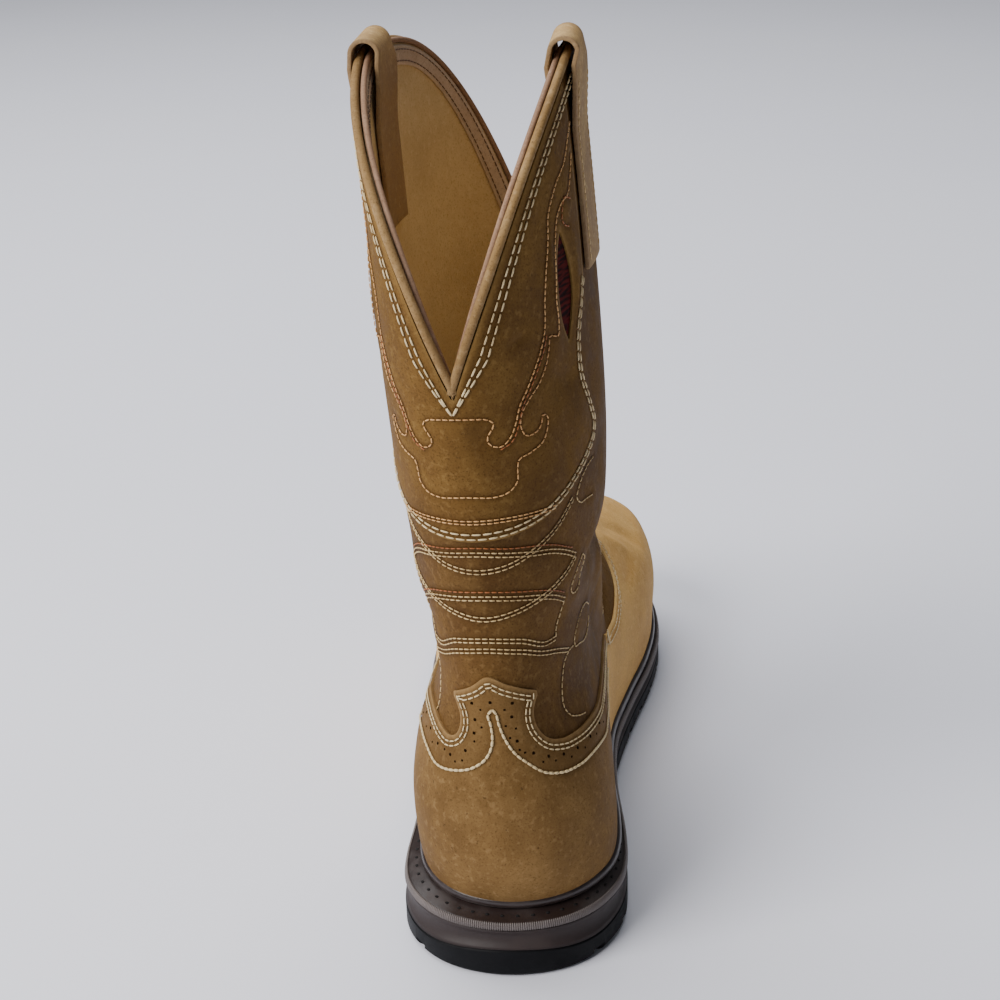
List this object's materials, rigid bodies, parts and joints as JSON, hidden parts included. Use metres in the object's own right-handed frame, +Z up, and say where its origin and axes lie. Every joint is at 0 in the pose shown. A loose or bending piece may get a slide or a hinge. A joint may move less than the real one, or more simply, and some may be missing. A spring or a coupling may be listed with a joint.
{
  "type": "steel toe boot",
  "caption": "Left pull-on western work boot with a hollow leather shaft, a scalloped collar, pull straps, stitched overlays and a lugged rubber sole.",
  "frame": {"origin": "on the floor under the middle of the heel", "axes": "+Z up, +Y from the heel to the toe, +X to the medial side, which is the wearer's right on this left boot"},
  "size_m": [0.104, 0.3118, 0.3279],
  "materials": {
    "black_rubber": "matte",
    "taupe_rubber": "satin",
    "welt_rubber": "satin",
    "insole_fabric": "matte",
    "shaft_leather": "matte, distressed",
    "tan_leather": "matte, distressed",
    "yoke_leather": "matte, distressed",
    "maroon_cloth": "woven",
    "binding_leather": "matte, rolled",
    "strap_leather": "matte"
  },
  "bodies": {
    "root": {"outsole": "black_rubber", "midsole": "taupe_rubber", "welt": "welt_rubber", "insole": "insole_fabric", "upper": "shaft_leather", "heel_counter": "tan_leather", "vamp": "tan_leather", "back_yoke": "yoke_leather", "window_inlay_medial": "maroon_cloth", "window_inlay_lateral": "maroon_cloth", "collar_binding": "binding_leather", "pull_strap_medial": "strap_leather", "pull_strap_lateral": "strap_leather"}
  },
  "joints": []
}
